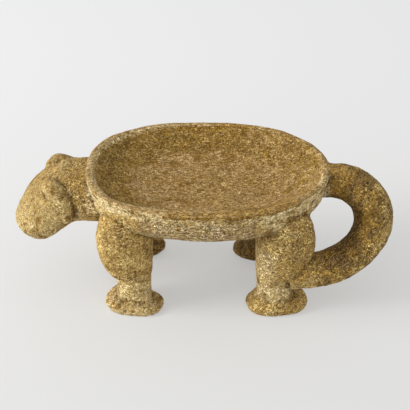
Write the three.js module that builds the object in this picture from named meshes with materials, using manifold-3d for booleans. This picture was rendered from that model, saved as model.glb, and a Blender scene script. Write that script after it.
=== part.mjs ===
// Effigy metate: an oval grinding dish carried by a four-legged animal, pecked from one block of
// volcanic stone. The stone is divided into its carved members, which meet along a hairline seam.
// Millimetres, +Z up. The head points along -X and the tail along +X, so the animal's left side is along -Y.
// The origin is on the table, under the middle of the overall length and width.

import * as THREE from "three";
import { mergeVertices } from "three/addons/utils/BufferGeometryUtils.js";
import Module from "manifold-3d";

const wasm = await Module();
wasm.setup();

// Clearance between two carved members.
const seam = 0.3;

// Grinding dish. The length and width are across the outside of the rim, and depths are below the rim.
const dish = {
  length: 212.5,
  width: 150,
  centreX: 5.5,
  rimHeight: 118.5,
  rimWidth: 6.5,
  rimRounding: 2.2,
  wallDepth: 13,
  wallLean: 2.5,
  basinDepth: 21,
  bellyDepth: 51,
};
// Powers of the dish's curves: 2 makes an ellipse, and more makes it squarer.
const headEndSquareness = 2.6;
const tailEndSquareness = 2.1;
const bellyFullness = 2.4;
const basinSteepness = 4.2;

// Head: broad cheeks, a sloping forehead and a blunt snout that droops below the neck. Each station has its
// distance forwards from the head's back, its top and bottom as depths below the dish's rim, and how far its
// sides stand out beyond the neck's.
const head = {
  fromDish: 11,
  back: { forwards: 0, top: 4, bottom: 48, beyondNeck: 0.5 },
  cheeks: { forwards: 9, top: 2, bottom: 54, beyondNeck: 5 },
  brow: { forwards: 24, top: 8, bottom: 67, beyondNeck: 5 },
  muzzle: { forwards: 41, top: 22.5, bottom: 69, beyondNeck: -2 },
  nose: { forwards: 55, top: 41, bottom: 65, beyondNeck: -9 },
  noseRounding: 20,
};
const headSquareness = 2.15;

// Neck, from inside the head to under the dish, where its chest rounds off.
const neck = {
  width: 64,
  top: 1.5,
  bottom: 47.5,
  intoHead: 12,
  underDish: 28,
  chestRounding: 16,
};
const neckSquareness = 2.5;

// Ears: thick ridges that stand out of the crown and curl back and down behind the cheeks.
const ear = {
  forwards: 24.5,
  topDepth: 10.5,
  bottomDepth: 35.5,
  frontThickness: 10,
  thickness: 17.5,
  backThickness: 15,
  endThickness: 9,
};
// How far forwards, outwards and down each point of an ear's middle line is.
const earPathShares = [
  [0.99, 0.4, 0.14],
  [0.78, 0.53, 0],
  [0.51, 0.66, 0.13],
  [0.28, 0.82, 0.42],
  [0.2, 0.9, 0.74],
  [0.22, 0.92, 1],
];
const earThickestShare = 0.3;
const earBackShare = 0.65;

// Legs. A thigh swells towards the end of the body, over a plain round shin and a flat foot.
// Reaches are from the middle of the shin, outwards to the end of the body and inwards to its middle.
const leg = {
  footInFromSide: 32,
  rootInFromSide: 37,
  shinWidth: 33,
  thighWidth: 41,
  kneeHeight: 33,
  rootDepth: 17,
  thighTopDepth: 15,
  footWidth: 38.5,
  footBeyondShin: 2.2,
  footEdge: 3.5,
  soleInset: 2.5,
};
// How the top of a foot runs from its edge to the shin: rounded over, sloping, or hollowed like a flare.
const rounded = (rise) => Math.sqrt(1 - rise ** 2);
const sloping = (rise) => 1 - rise ** 1.4;
const flared = (rise) => (1 - rise) ** 3;
const frontLeg = {
  inFromEnd: 40.5,
  shinLength: 30.5,
  thighReach: 31.5,
  kneeReach: 17.5,
  footHeight: 10.5,
  footOutwards: 26,
  footInwards: 27,
  outwardsTop: rounded,
  inwardsTop: flared,
  toesIn: THREE.MathUtils.degToRad(9),
};
const rearLeg = {
  inFromEnd: 47,
  shinLength: 32.5,
  thighReach: 34,
  kneeReach: 17.5,
  footHeight: 13.5,
  footOutwards: 30,
  footInwards: 26,
  outwardsTop: rounded,
  inwardsTop: sloping,
  toesIn: THREE.MathUtils.degToRad(-9),
};
// The right legs stand further under the body than their fellows, both lengthwise and inwards.
const frontRight = { forwards: 1.5, inwards: 5.5 };
const rearRight = { forwards: 10.5, inwards: 10.5 };
const thighRoundness = 0.5;
const legSquareness = 2.15;
const footSquareness = 2.4;

// Tail: a thick loop from the dish's rear end, out and down, and in to the rear left leg.
const tail = {
  rootThickness: 29,
  thickness: 34.5,
  lowerThickness: 32,
  endThickness: 31,
  reach: 56,
  rootDepth: 15,
  endHeight: 37.5,
};
// How far out, how far across to the leg and how high each point of the tail's middle line is.
const tailPathShares = [
  [-0.3, 0, 0.97],
  [0.05, 0, 1],
  [0.5, 0.09, 0.98],
  [0.88, 0.27, 0.83],
  [1, 0.48, 0.62],
  [0.83, 0.73, 0.38],
  [0.47, 0.91, 0.2],
  [0, 1, 0.06],
  [-0.45, 1, 0],
  [-0.9, 1, -0.04],
];

// Where along the tail each thickness is reached.
const thickestShare = 0.42;
const lowerShare = 0.68;

// How finely the forms are faceted.
const dishSides = 64;
const headSides = 36;
const earSides = 16;
const legSides = 28;
const tailSides = 22;
const bellyRings = 8;
const lipRings = 3;
const basinRings = 8;
const headRings = 13;
const earRings = 16;
const chestRings = 5;
const thighRings = 13;
const footRings = 5;
const tailRings = 28;

const quarterTurn = Math.PI / 2;

// A point of a unit oval, at a share of the way round. A squareness of 2 makes a circle.
function ovalPoint(share, squareness) {
  const bulge = (value) => Math.sign(value) * Math.abs(value) ** (2 / squareness);
  return [bulge(Math.cos(4 * quarterTurn * share)), bulge(Math.sin(4 * quarterTurn * share))];
}

// A closed geometry as a solid that can be joined and cut, with its faces pointing out.
function solidOf(geometry) {
  const bare = geometry.clone();
  bare.deleteAttribute("normal");
  bare.deleteAttribute("uv");
  const merged = mergeVertices(bare);
  const vertProperties = merged.attributes.position.array;
  const triVerts = new Uint32Array(merged.index.array);
  const solid = new wasm.Manifold(new wasm.Mesh({ numProp: 3, vertProperties, triVerts }));
  if (solid.volume() > 0) return solid;
  triVerts.reverse();
  return new wasm.Manifold(new wasm.Mesh({ numProp: 3, vertProperties, triVerts }));
}

// A solid as a geometry that a mesh can show.
function geometryOf(solid) {
  const mesh = solid.getMesh();
  const geometry = new THREE.BufferGeometry();
  geometry.setAttribute("position", new THREE.BufferAttribute(mesh.vertProperties, mesh.numProp));
  geometry.setIndex(new THREE.BufferAttribute(mesh.triVerts, 1));
  geometry.computeVertexNormals();
  return geometry;
}

// A solid through rings with equally many points, drawn to a tip at either end.
function loft(rings, firstTip, lastTip) {
  const sides = rings[0].length;
  const lastRing = rings.length - 1;
  const at = (ring, side) => 1 + ring * sides + (side % sides);
  const index = [];
  for (let side = 0; side < sides; side++) {
    index.push(0, at(0, side + 1), at(0, side));
    for (let ring = 0; ring < lastRing; ring++) {
      index.push(at(ring, side), at(ring, side + 1), at(ring + 1, side + 1));
      index.push(at(ring, side), at(ring + 1, side + 1), at(ring + 1, side));
    }
    index.push(at(lastRing, side), at(lastRing, side + 1), at(rings.length, 0));
  }
  const geometry = new THREE.BufferGeometry().setFromPoints([firstTip, ...rings.flat(), lastTip]);
  geometry.setIndex(index);
  return solidOf(geometry);
}

// A round solid along a path, as thick as the function says at each share of the way.
function tube(path, thicknessAt, ringCount, sides) {
  const rings = Array.from({ length: ringCount + 1 }, (_, ring) => {
    const share = ring / ringCount;
    const along = path.getTangentAt(share);
    const sideways = new THREE.Vector3(0, 1, 0).addScaledVector(along, -along.y).normalize();
    const inwards = new THREE.Vector3().crossVectors(along, sideways);
    const [thickness] = thicknessAt(share);
    return Array.from({ length: sides }, (_, side) => {
      const [a, b] = ovalPoint(side / sides, 2);
      return path
        .getPointAt(share)
        .addScaledVector(sideways, (a * thickness) / 2)
        .addScaledVector(inwards, (b * thickness) / 2);
    });
  });
  return loft(rings, path.getPointAt(0), path.getPointAt(1));
}

// A smooth run of sizes through stations, each of which starts with its place along the member.
function smoothly(stations) {
  const places = stations.map(([place]) => place);
  const sizes = stations.flatMap(([, ...rest]) => rest);
  const run = new THREE.CubicInterpolant(places, sizes, stations[0].length - 1);
  return (place) => Array.from(run.evaluate(place));
}

// Grinding dish

const dishHeadEnd = dish.centreX - dish.length / 2;
const dishTailEnd = dish.centreX + dish.length / 2;

// One level ring of the dish's outline, squarer towards the head than towards the tail.
function dishRing(halfLength, halfWidth, height) {
  return Array.from({ length: dishSides }, (_, side) => {
    const towardsHead = (1 - Math.cos((side / dishSides) * 4 * quarterTurn)) / 2;
    const squareness = THREE.MathUtils.lerp(tailEndSquareness, headEndSquareness, towardsHead);
    const [a, b] = ovalPoint(side / dishSides, squareness);
    return new THREE.Vector3(dish.centreX + a * halfLength, b * halfWidth, height);
  });
}

// From the belly out to the wall's foot, up to the lip and over its outer edge.
function dishOutside(grow) {
  const halfLength = dish.length / 2 + grow;
  const halfWidth = dish.width / 2 + grow;
  const top = dish.rimHeight + grow;
  const belly = dish.rimHeight - dish.bellyDepth - grow;
  const wallFoot = dish.rimHeight - dish.wallDepth;
  const rings = [];
  for (let ring = 1; ring <= bellyRings; ring++) {
    const share = Math.sin((ring / bellyRings) * quarterTurn);
    const rise = 1 - (1 - share ** bellyFullness) ** (1 / bellyFullness);
    const height = THREE.MathUtils.lerp(belly, wallFoot, rise);
    rings.push(dishRing((halfLength - dish.wallLean) * share, (halfWidth - dish.wallLean) * share, height));
  }
  for (let ring = 0; ring <= lipRings; ring++) {
    const turn = (ring / lipRings) * quarterTurn;
    const inset = dish.rimRounding * (1 - Math.cos(turn));
    const height = top - dish.rimRounding * (1 - Math.sin(turn));
    rings.push(dishRing(halfLength - inset, halfWidth - inset, height));
  }
  return rings;
}

// From the lip's inner edge down the basin.
function dishInside() {
  const halfLength = dish.length / 2 - dish.rimWidth;
  const halfWidth = dish.width / 2 - dish.rimWidth;
  const rings = [];
  for (let ring = 0; ring < lipRings; ring++) {
    const turn = (ring / lipRings) * quarterTurn;
    const inset = dish.rimRounding * (1 - Math.sin(turn));
    const height = dish.rimHeight - dish.rimRounding * (1 - Math.cos(turn));
    rings.push(dishRing(halfLength + inset, halfWidth + inset, height));
  }
  for (let ring = 0; ring < basinRings; ring++) {
    const share = 1 - ring / basinRings;
    const depth = THREE.MathUtils.lerp(dish.basinDepth, dish.rimRounding, share ** basinSteepness);
    rings.push(dishRing(halfLength * share, halfWidth * share, dish.rimHeight - depth));
  }
  return rings;
}

const dishMiddle = (depth) => new THREE.Vector3(dish.centreX, 0, dish.rimHeight - depth);

function dishForm() {
  return loft([...dishOutside(0), ...dishInside()], dishMiddle(dish.bellyDepth), dishMiddle(dish.basinDepth));
}

// The dish grown by the seam and without its basin, which its neighbours are cut by.
function dishBlock() {
  return loft(dishOutside(seam), dishMiddle(dish.bellyDepth + seam), dishMiddle(-seam));
}

// Head, neck and ears

const headBackX = dishHeadEnd - head.fromDish;

// An upright oval section of the head or neck, at a distance forwards from the head's back.
function uprightSection({ forwards, top, bottom, width, squareness, fullness = 1, grow = 0 }) {
  const centre = dish.rimHeight - (top + bottom) / 2;
  return Array.from({ length: headSides }, (_, side) => {
    const [a, b] = ovalPoint(side / headSides, squareness);
    const across = a * ((width / 2) * fullness + grow);
    const up = b * (((bottom - top) / 2) * fullness + grow);
    return new THREE.Vector3(headBackX - forwards, across, centre + up);
  });
}

function uprightTip({ forwards, top, bottom }) {
  return new THREE.Vector3(headBackX - forwards, 0, dish.rimHeight - (top + bottom) / 2);
}

function headForm(grow) {
  const stations = [head.back, head.cheeks, head.brow, head.muzzle, head.nose];
  const widthOf = ({ beyondNeck }) => neck.width + 2 * beyondNeck;
  const sizesAt = smoothly(stations.map((at) => [at.forwards, at.top, at.bottom, widthOf(at)]));
  const domeStart = head.nose.forwards - head.noseRounding;
  const rings = Array.from({ length: headRings }, (_, ring) => {
    const forwards = head.nose.forwards * Math.sin((ring / headRings) * quarterTurn);
    const [top, bottom, width] = sizesAt(forwards);
    const fullness = Math.sqrt(1 - Math.max(0, (forwards - domeStart) / head.noseRounding) ** 2);
    return uprightSection({
      forwards: ring === 0 ? forwards - grow : forwards,
      top,
      bottom,
      width,
      squareness: headSquareness,
      fullness,
      grow,
    });
  });
  const nose = uprightTip({ ...head.nose, forwards: head.nose.forwards + grow });
  return loft(rings, uprightTip({ ...head.back, forwards: -grow }), nose);
}

function neckForm(grow) {
  const chestEnd = -(head.fromDish + neck.underDish);
  const domeStart = chestEnd + neck.chestRounding;
  const section = (forwards, fullness) =>
    uprightSection({ ...neck, forwards, fullness, grow, squareness: neckSquareness });
  const rings = [section(neck.intoHead, 1)];
  for (let ring = 0; ring < chestRings; ring++) {
    const turn = (ring / chestRings) * quarterTurn;
    rings.push(section(domeStart - neck.chestRounding * Math.sin(turn), Math.cos(turn)));
  }
  const chest = uprightTip({ ...neck, forwards: chestEnd - grow });
  return loft(rings, uprightTip({ ...neck, forwards: neck.intoHead }), chest);
}

function earForm(side) {
  const path = new THREE.CatmullRomCurve3(
    earPathShares.map(
      ([forwards, out, down]) =>
        new THREE.Vector3(
          headBackX - ear.forwards * forwards,
          side * (neck.width / 2 + head.cheeks.beyondNeck) * out,
          dish.rimHeight - THREE.MathUtils.lerp(ear.topDepth, ear.bottomDepth, down),
        ),
    ),
    false,
    "centripetal",
  );
  const thicknessAt = smoothly([
    [0, ear.frontThickness],
    [earThickestShare, ear.thickness],
    [earBackShare, ear.backThickness],
    [1, ear.endThickness],
  ]);
  return tube(path, thicknessAt, earRings, earSides);
}

// Legs

const footY = dish.width / 2 - leg.footInFromSide;
const rootInwards = leg.rootInFromSide - leg.footInFromSide;
const frontLegX = dishHeadEnd + frontLeg.inFromEnd;
const rearLegX = dishTailEnd - rearLeg.inFromEnd;

// A leg under one end of the dish, as level sections from the sole up.
// Outwards is towards that end of the body.
function legForm({ x, y, outwards, side, shape, grow = 0 }) {
  const shin = shape.shinLength / 2;
  const rootHeight = dish.rimHeight - leg.rootDepth;
  const middle = (height) => {
    const inwards = (rootInwards * height) / rootHeight;
    const footOut = leg.footBeyondShin * Math.max(0, 1 - height / shape.footHeight);
    return new THREE.Vector3(x, side * (y - inwards + footOut), height);
  };
  const level = (height, inwardsReach, outwardsReach, width, squareness = legSquareness, turn = 0) =>
    Array.from({ length: legSides }, (_, corner) => {
      const [a, b] = ovalPoint(corner / legSides, squareness);
      const along = (outwardsReach - inwardsReach) / 2 + a * ((outwardsReach + inwardsReach) / 2 + grow);
      const point = new THREE.Vector3(outwards * along, b * (width / 2 + grow), 0);
      return point.applyAxisAngle(new THREE.Vector3(0, 0, 1), side * turn).add(middle(height));
    });

  const { soleInset, footEdge, footWidth, shinWidth } = leg;
  const { footHeight } = shape;
  const rings = [
    level(
      0,
      shape.footInwards - soleInset,
      shape.footOutwards - soleInset,
      footWidth - 2 * soleInset,
      footSquareness,
      shape.toesIn,
    ),
  ];
  for (let ring = 0; ring < footRings; ring++) {
    const rise = ring / footRings;
    rings.push(
      level(
        THREE.MathUtils.lerp(footEdge, footHeight, rise),
        THREE.MathUtils.lerp(shin, shape.footInwards, shape.inwardsTop(rise)),
        THREE.MathUtils.lerp(shin, shape.footOutwards, shape.outwardsTop(rise)),
        THREE.MathUtils.lerp(shinWidth, footWidth, rounded(rise)),
        THREE.MathUtils.lerp(footSquareness, legSquareness, rise),
        shape.toesIn * (1 - rise),
      ),
    );
  }
  rings.push(level(footHeight, shin, shin, shinWidth));
  const thighTop = dish.rimHeight - leg.thighTopDepth;
  const swellTo = (height, top) => {
    const share = THREE.MathUtils.inverseLerp(leg.kneeHeight, top, height);
    return Math.sin(2 * quarterTurn * share) ** thighRoundness;
  };
  for (let ring = 0; ring <= thighRings; ring++) {
    const height = THREE.MathUtils.lerp(leg.kneeHeight, rootHeight, ring / thighRings);
    const swell = swellTo(height, thighTop);
    const reach = THREE.MathUtils.lerp(shin, shape.thighReach, swell);
    const knee = THREE.MathUtils.lerp(shin, shape.kneeReach, swell);
    rings.push(level(height, knee, reach, THREE.MathUtils.lerp(shinWidth, leg.thighWidth, swell)));
  }
  return loft(rings, middle(0), middle(rootHeight));
}

// Tail

function tailForm() {
  const rootHeight = dish.rimHeight - tail.rootDepth;
  const reach = tail.reach - tail.thickness / 2;
  const path = new THREE.CatmullRomCurve3(
    tailPathShares.map(
      ([out, across, up]) =>
        new THREE.Vector3(
          dishTailEnd + reach * out,
          -footY * across,
          THREE.MathUtils.lerp(tail.endHeight, rootHeight, up),
        ),
    ),
    false,
    "centripetal",
  );
  const thicknessAt = smoothly([
    [0, tail.rootThickness],
    [thickestShare, tail.thickness],
    [lowerShare, tail.lowerThickness],
    [1, tail.endThickness],
  ]);
  return tube(path, thicknessAt, tailRings, tailSides);
}

// The metate

const stone = { color: 0x9f8152, roughness: 0.95, metalness: 0 };
const metate = new THREE.Group();

function place(name, solid) {
  const mesh = new THREE.Mesh(geometryOf(solid), new THREE.MeshStandardMaterial(stone));
  mesh.name = name;
  metate.add(mesh);
}

const block = dishBlock();
const grownHead = headForm(seam);
const grownNeck = neckForm(seam);

place("grinding_dish", dishForm());
place("head", headForm(0));
place("neck", neckForm(0).subtract(block).subtract(grownHead));
for (const [name, side] of [["left_ear", -1], ["right_ear", 1]]) {
  place(name, earForm(side).subtract(grownHead).subtract(grownNeck));
}

const frontLeft = { x: frontLegX, y: footY, outwards: -1, side: -1, shape: frontLeg };
const rearLeft = { x: rearLegX, y: footY, outwards: 1, side: -1, shape: rearLeg };
const standing = (fellow, { forwards, inwards }) => ({
  ...fellow,
  x: fellow.x - forwards,
  y: fellow.y - inwards,
  side: -fellow.side,
});
const legs = {
  front_left_leg: frontLeft,
  front_right_leg: standing(frontLeft, frontRight),
  rear_left_leg: rearLeft,
  rear_right_leg: standing(rearLeft, rearRight),
};
for (const [name, where] of Object.entries(legs)) {
  place(name, legForm(where).subtract(block).subtract(grownNeck));
}
place("tail", tailForm().subtract(block).subtract(legForm({ ...rearLeft, grow: seam })));

export default metate;
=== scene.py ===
"""Effigy metate: the look of the pecked volcanic stone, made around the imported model.

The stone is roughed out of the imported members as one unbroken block, dressed and pecked, and then
parted again into the dish, the head, the legs and the tail. Lengths are in metres.
"""

import math

import bmesh
import bpy
import numpy as np
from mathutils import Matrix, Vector
from mathutils.bvhtree import BVHTree


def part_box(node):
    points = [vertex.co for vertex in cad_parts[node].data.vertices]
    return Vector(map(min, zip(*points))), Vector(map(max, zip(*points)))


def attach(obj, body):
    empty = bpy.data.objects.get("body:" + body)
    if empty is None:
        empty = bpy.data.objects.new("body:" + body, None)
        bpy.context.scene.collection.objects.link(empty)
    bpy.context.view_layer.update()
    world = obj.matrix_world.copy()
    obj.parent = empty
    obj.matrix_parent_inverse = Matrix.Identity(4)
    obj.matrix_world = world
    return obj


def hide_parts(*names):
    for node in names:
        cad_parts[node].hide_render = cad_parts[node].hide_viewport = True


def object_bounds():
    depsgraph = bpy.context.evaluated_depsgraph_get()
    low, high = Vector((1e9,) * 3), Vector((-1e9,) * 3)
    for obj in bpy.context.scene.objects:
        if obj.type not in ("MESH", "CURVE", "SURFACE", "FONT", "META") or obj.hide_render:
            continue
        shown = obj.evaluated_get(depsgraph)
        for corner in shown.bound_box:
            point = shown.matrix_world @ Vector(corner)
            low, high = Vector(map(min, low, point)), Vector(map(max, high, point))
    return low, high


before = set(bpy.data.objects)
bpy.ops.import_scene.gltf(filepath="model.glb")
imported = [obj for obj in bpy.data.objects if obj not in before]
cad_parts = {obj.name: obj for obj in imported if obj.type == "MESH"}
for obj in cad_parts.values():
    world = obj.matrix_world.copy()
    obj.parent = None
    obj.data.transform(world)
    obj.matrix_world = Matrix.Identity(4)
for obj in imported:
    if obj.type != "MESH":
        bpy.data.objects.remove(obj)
CAD_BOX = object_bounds()

bl_info = {
    "name": "Effigy Metate",
    "version": (1, 0, 0),
    "blender": (4, 5, 0),
    "location": "View3D > Sidebar > Metate",
    "description": "Makes a pecked stone metate in the form of a standing animal",
    "category": "Object",
}

BLOCK = "stone_block"
MM = 0.001

# Where the block is parted: behind the neck, below the belly, and at both ends of the tail.
NECK_CUT = -103 * MM
LEG_CUT = 64 * MM
TAIL_ROOT_CUT = 114 * MM
TAIL_END_CUT = 100 * MM
CUT_REACH = 4 * MM

DISH, HEAD, TAIL, FRONT_LEFT, FRONT_RIGHT, REAR_LEFT, REAR_RIGHT = range(1, 8)
# The basin's plan: how far its edge lies inside the rim's, and how square its oval is.
BASIN_INSET = 6 * MM
BASIN_SQUARENESS = 2.4
# How the inner corners are filled and the edges worn: the steps along and out of the surface, the
# passes for which its normals hold, and the smoothing and swelling step of each wear pass.
FILL_ALONG, FILL_OUT = 0.5, 0.8
PASSES_PER_NORMAL = 10
WEAR_STEPS = (0.5, -0.52)
# How far each pass takes a point towards its neighbours when the relief around it is measured.
RELIEF_STEP = 0.6
# How far a point counts as lying from members that it isn't measured against, in metres.
FAR_AWAY = 1.0
TINY = 1e-9
# Pale chips in the rim, in millimetres.
RIM_CHIPS = ((103.5, -18, 118), (101, -25, 117.5), (54, 66, 118.5))
# The stone's shader: the size and contrast of its grains, its dullness and the depth of its bumps.
SHADER_GRAIN_SIZE = 0.85 * MM
GRAIN_CONTRAST = 1.25
ROUGHNESS = 0.93
SPECULAR = 0.25
BUMP_DEPTH = 0.3 * MM
STAINS = ("Ochre", "Brown", "Cream", "Sage", "Bark", "Pink", "Moss", "Lilac", "Rust", "Umber_Shade")
# How far a grain's tone reaches in red, green and blue: dark grains are browner than light ones.
TONE_REACH = (1.55, 1.85, 2.6)
CORE_NODES = [
    "grinding_dish", "head", "neck", "left_ear", "right_ear",
    "front_left_leg", "front_right_leg", "rear_left_leg", "rear_right_leg", "tail",
]


def number(name, description, default, **settings):
    """A number property."""
    return bpy.props.FloatProperty(
        name=name, description=description, default=default, **settings)


def length(name, description, millimetres):
    """A length property."""
    return number(name, description, millimetres * MM, unit="LENGTH", precision=5)


def factor(name, description, default):
    """A property from 0 to 1."""
    return number(name, description, default, subtype="FACTOR", min=0, max=1)


class MetateSizes(bpy.types.PropertyGroup):
    """Sizes of the stone's surface."""

    cell: length("Surface Cell", "Size of the cells that the block is made in", 1.02)
    overlap: length("Member Overlap", "How far each member grows to close its seams", 0.45)
    fillet_passes: bpy.props.IntProperty(
        name="Fillet Passes", description="How far the inner corners are filled", default=6)
    wear_passes: bpy.props.IntProperty(
        name="Wear Passes", description="How far the edges are rounded off", default=2)
    groove_depth: length(
        "Groove Depth", "Depth of the groove between the thighs and the wall", 0.2)
    ear_groove_depth: length("Ear Groove Depth", "Depth of the groove behind each ear", 0.5)
    swell_size: length("Swell Size", "Width of the slow swells of the carved surface", 34)
    swell_height: length("Swell Height", "Height of the slow swells", 1.3)
    dent_size: length("Dent Size", "Width of the dents that the hammerstone left", 7)
    dent_depth: length("Dent Depth", "Depth of the hammerstone's dents", 0.75)
    pit_size: length("Pit Size", "Distance between the stone's open pits", 3.4)
    pit_depth: length("Pit Depth", "Depth of the open pits", 0.75)
    pit_share: factor("Pit Share", "Share of the places that have an open pit", 0.4)
    grain_size: length("Grain Size", "Size of the coarse mineral grains", 2.1)
    grain_height: length("Grain Height", "How far the grains stand out", 0.22)


def colour(name, description, red, green, blue):
    """A colour property, given by its values as they look on screen."""
    return bpy.props.FloatVectorProperty(
        name=name, description=description, subtype="COLOR", size=4, min=0, max=1,
        default=(*[linear(v) for v in (red, green, blue)], 1))


def linear(value):
    """The light that a screen value from 0 to 255 stands for."""
    share = value / 255
    return share / 12.92 if share <= 0.04045 else ((share + 0.055) / 1.055) ** 2.4


class MetateColours(bpy.types.PropertyGroup):
    """Colours of the stone."""

    ochre: colour("Ochre", "The stone's main colour", 190, 158, 90)
    brown: colour("Brown", "The stone where it is stained", 144, 106, 36)
    cream: colour("Cream", "The pale bloom on the dish's ends and the shins", 210, 185, 130)
    sage: colour("Greenish Grey", "The pale skin of the head", 178, 152, 95)
    bark: colour("Bark", "The dark skin of the tail", 156, 120, 50)
    pink: colour("Pinkish Brown", "The ground floor of the basin", 158, 124, 71)
    moss: colour("Moss Brown", "The basin's wall, where nothing is ground", 147, 115, 47)
    lilac: colour("Lilac Grey", "The weathered zone under the wall", 156, 131, 90)
    rust: colour("Rust", "Iron stains along the rim and on the toes", 148, 108, 30)
    # Umber paints the stone's dark mottles and also painted shade: in grooves, creases and hollows,
    # behind the ears, on the inner side of the tail's loop, on the far legs and in the basin's left
    # part.
    umber_shade: colour("Umber_Shade", "The dirt that lies in grooves and inner corners", 84, 58, 20)
    # Pale Grain also paints highlights on small ridges, and Dark Grain also paints shade in the
    # pits and small hollows.
    pale: colour("Pale Grain", "The lightest mineral grains", 232, 212, 166)
    dark: colour("Dark Grain", "The darkest grains and the bottoms of pits", 66, 50, 24)


class MetateStudio(bpy.types.PropertyGroup):
    """The plain studio that the metate stands in."""

    floor: colour("Floor", "The floor at the front", 226, 226, 224)
    far_floor: colour("Far Floor", "The floor at the back", 235, 235, 236)
    overhead: number("Overhead Light", "Strength of the even light from straight above", 0.6)
    around: number("Light Around", "Strength of the even light from the horizon", 0.95)
    window_power: number("Window Light", "Power of the soft light at the left", 40, unit="POWER")
    window_size: length("Window Size", "Width of the soft light at the left", 1100)
    window_distance: length("Window Distance", "Distance of the soft light from the metate", 2200)
    window_azimuth: number(
        "Window Azimuth", "Where the soft light stands, turned from the right",
        math.radians(189), subtype="ANGLE")
    window_elevation: number(
        "Window Elevation", "Height of the soft light above the horizon",
        math.radians(27), subtype="ANGLE")
    plain_share: factor(
        "Plain Floor Share", "How much of the floor's colour no shadow reaches", 0.5)
    backdrop: number("Backdrop", "How bright the sky looks to the camera", 0.87)
    camera_azimuth: number(
        "Camera Azimuth", "Turn of the camera round the metate",
        math.radians(0.5), subtype="ANGLE")
    camera_elevation: number(
        "Camera Elevation", "Height of the camera above the horizon",
        math.radians(35.5), subtype="ANGLE")
    camera_distance: length("Camera Distance", "Distance from the camera to the metate", 1195)


def node(tree, kind, inputs=None, **settings):
    """A node of that kind, with its settings and the values or links of its inputs."""
    made = tree.nodes.new(kind)
    for key, value in settings.items():
        setattr(made, key, value)
    for key, value in (inputs or {}).items():
        socket = made.inputs[key]
        if isinstance(value, bpy.types.NodeSocket):
            tree.links.new(value, socket)
        else:
            socket.default_value = value
    return made


def maths(tree, operation, *values, clamp=False):
    """The result of one Math node."""
    made = node(tree, "ShaderNodeMath", dict(enumerate(values)), operation=operation)
    made.use_clamp = clamp
    return made.outputs[0]


def times(tree, value, factor):
    """The product of two values."""
    return maths(tree, "MULTIPLY", value, factor)


def zone(tree, name):
    """The share of a zone, as the mesh keeps it."""
    return node(tree, "ShaderNodeAttribute", attribute_name=name).outputs["Fac"]


def blend(tree, share, under, over, kind="MIX"):
    """One colour laid over another by a share."""
    made = node(
        tree, "ShaderNodeMix", {0: share, 6: under, 7: over}, data_type="RGBA", blend_type=kind)
    return made.outputs[2]


def ramp(tree, value, low, high, to_low=0.0, to_high=1.0):
    """The value, taken smoothly from low to high onto another range."""
    made = node(
        tree, "ShaderNodeMapRange",
        {"Value": value, "From Min": low, "From Max": high, "To Min": to_low, "To Max": to_high},
        interpolation_type="SMOOTHSTEP")
    return made.outputs["Result"]


def read_points(mesh):
    """The mesh's points as an array."""
    points = np.empty(len(mesh.vertices) * 3, np.float32)
    mesh.vertices.foreach_get("co", points)
    return points.reshape(-1, 3).astype(float)


def write_points(mesh, points):
    """Puts the points back into the mesh."""
    mesh.vertices.foreach_set("co", points.astype(np.float32).ravel())
    mesh.update()


def read_normals(mesh):
    """The mesh's smooth normal at each point."""
    normals = np.empty(len(mesh.vertices) * 3, np.float32)
    mesh.vertex_normals.foreach_get("vector", normals)
    return normals.reshape(-1, 3).astype(float)


def read_edges(mesh):
    """The two ends of each edge."""
    edges = np.empty(len(mesh.edges) * 2, np.int32)
    mesh.edges.foreach_get("vertices", edges)
    return edges.reshape(-1, 2)


def around(values, edges):
    """The average of each point's neighbours."""
    total = np.zeros_like(values)
    for here, there in ((0, 1), (1, 0)):
        for axis in range(values.shape[1]):
            total[:, axis] += np.bincount(
                edges[:, here], values[edges[:, there], axis], len(values))
    count = np.bincount(edges.ravel(), minlength=len(values))
    return total / np.maximum(count, 1)[:, None]


def stored(mesh, name):
    """The values kept under that name."""
    values = np.empty(len(mesh.vertices), np.float32)
    mesh.attributes[name].data.foreach_get("value", values)
    return values.astype(float)


def store(mesh, name, values):
    """Keeps one value for each point under a name that the materials read."""
    attribute = mesh.attributes.get(name) or mesh.attributes.new(name, "FLOAT", "POINT")
    attribute.data.foreach_set("value", values.astype(np.float32))


def smooth_share(values, low, high):
    """0 below low and 1 above high, with a smooth step between them."""
    share = np.clip((values - low) / (high - low), 0, 1)
    return share * share * (3 - 2 * share)


def rise(values, low, high):
    """0 below low and 1 above high, both in millimetres, with a smooth step between them."""
    return smooth_share(values, low * MM, high * MM)


def fall(values, low, high):
    """1 below low and 0 above high, both in millimetres, with a smooth step between them."""
    return 1 - rise(values, low, high)


def spot(points, centre, width):
    """1 at the centre and fading out over the width, both in millimetres."""
    away = np.linalg.norm(points - np.array(centre) * MM, axis=1)
    return np.exp(-(away / (width * MM)) ** 2)


def fresh_object(name, mesh):
    """A new object in the scene, at the origin."""
    made = bpy.data.objects.new(name, mesh)
    bpy.context.scene.collection.objects.link(made)
    return made


def evaluated_mesh(made):
    """The object's mesh with its modifiers applied."""
    graph = bpy.context.evaluated_depsgraph_get()
    return bpy.data.meshes.new_from_object(made.evaluated_get(graph), depsgraph=graph)


def settle(made):
    """Applies the object's modifiers and takes them off."""
    mesh = evaluated_mesh(made)
    old = made.data
    made.modifiers.clear()
    made.data = mesh
    bpy.data.meshes.remove(old)


def joined_members(overlap):
    """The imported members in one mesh, each grown a little so that the seams close."""
    joined = bmesh.new()
    for name in CORE_NODES:
        member = bmesh.new()
        member.from_mesh(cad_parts[name].data)
        bmesh.ops.remove_doubles(member, verts=member.verts, dist=1e-6)
        member.normal_update()
        moves = [vert.normal * overlap for vert in member.verts]
        for vert, move in zip(member.verts, moves):
            vert.co += move
        grown = bpy.data.meshes.new(name)
        member.to_mesh(grown)
        member.free()
        joined.from_mesh(grown)
        bpy.data.meshes.remove(grown)
    mesh = bpy.data.meshes.new(BLOCK)
    joined.to_mesh(mesh)
    joined.free()
    return mesh


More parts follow.
